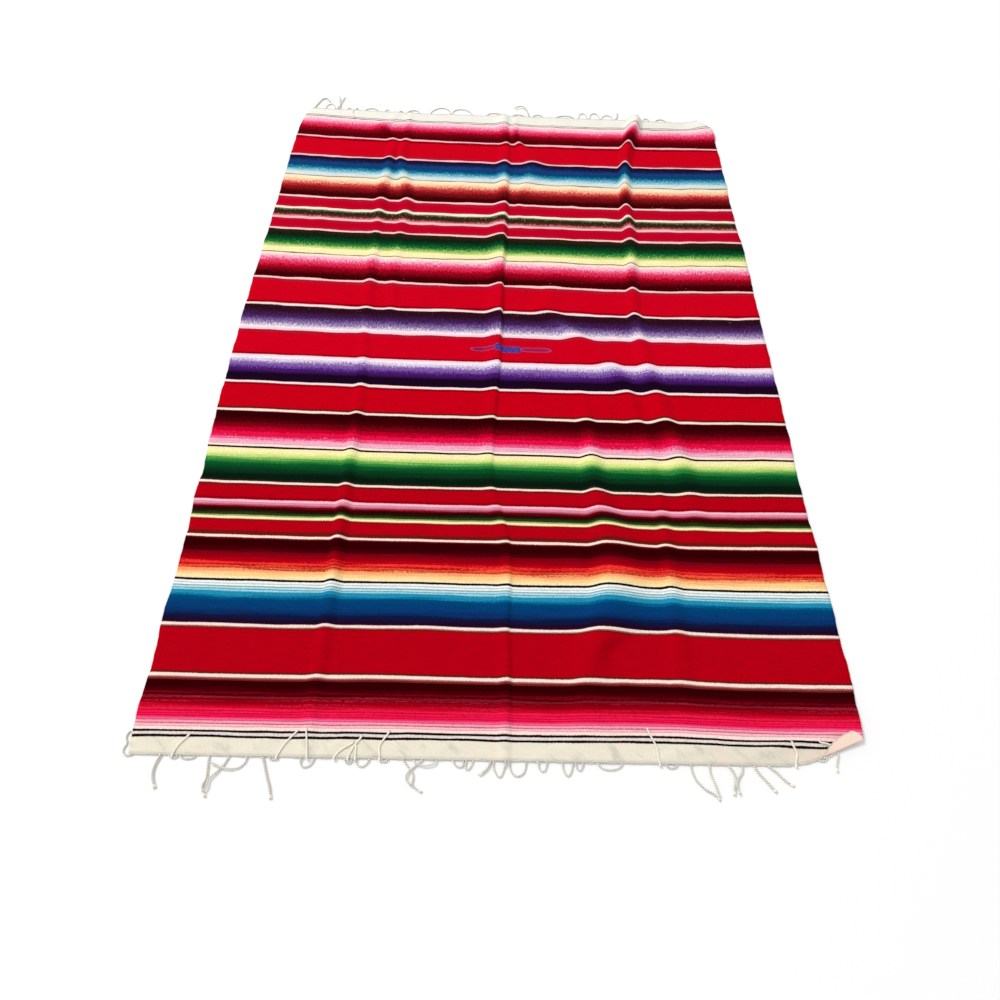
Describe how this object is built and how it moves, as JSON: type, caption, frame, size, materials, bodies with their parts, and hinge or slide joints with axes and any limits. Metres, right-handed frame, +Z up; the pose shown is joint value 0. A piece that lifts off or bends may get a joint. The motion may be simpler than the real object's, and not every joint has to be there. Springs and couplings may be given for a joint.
{
  "type": "mexican serape",
  "caption": "Mexican serape laid flat: weft-striped wool blanket in red, blue, orange, green, pink and purple bands, cream headings, loose cotton warp fringe",
  "frame": {"origin": "on the floor, under the middle of the cloth", "axes": "+X across the cloth to the right, +Y along it to its far end, +Z up from the floor"},
  "size_m": [1.3918, 2.2863, 0.0328],
  "materials": {
    "serape_wool": "matte weft-faced weave in coloured stripes",
    "fringe_cotton": "matte plied cotton cord"
  },
  "bodies": {
    "root": {"web": "serape_wool", "near_fringe": "fringe_cotton", "far_fringe": "fringe_cotton", "corner_fringe": "fringe_cotton"}
  },
  "joints": []
}
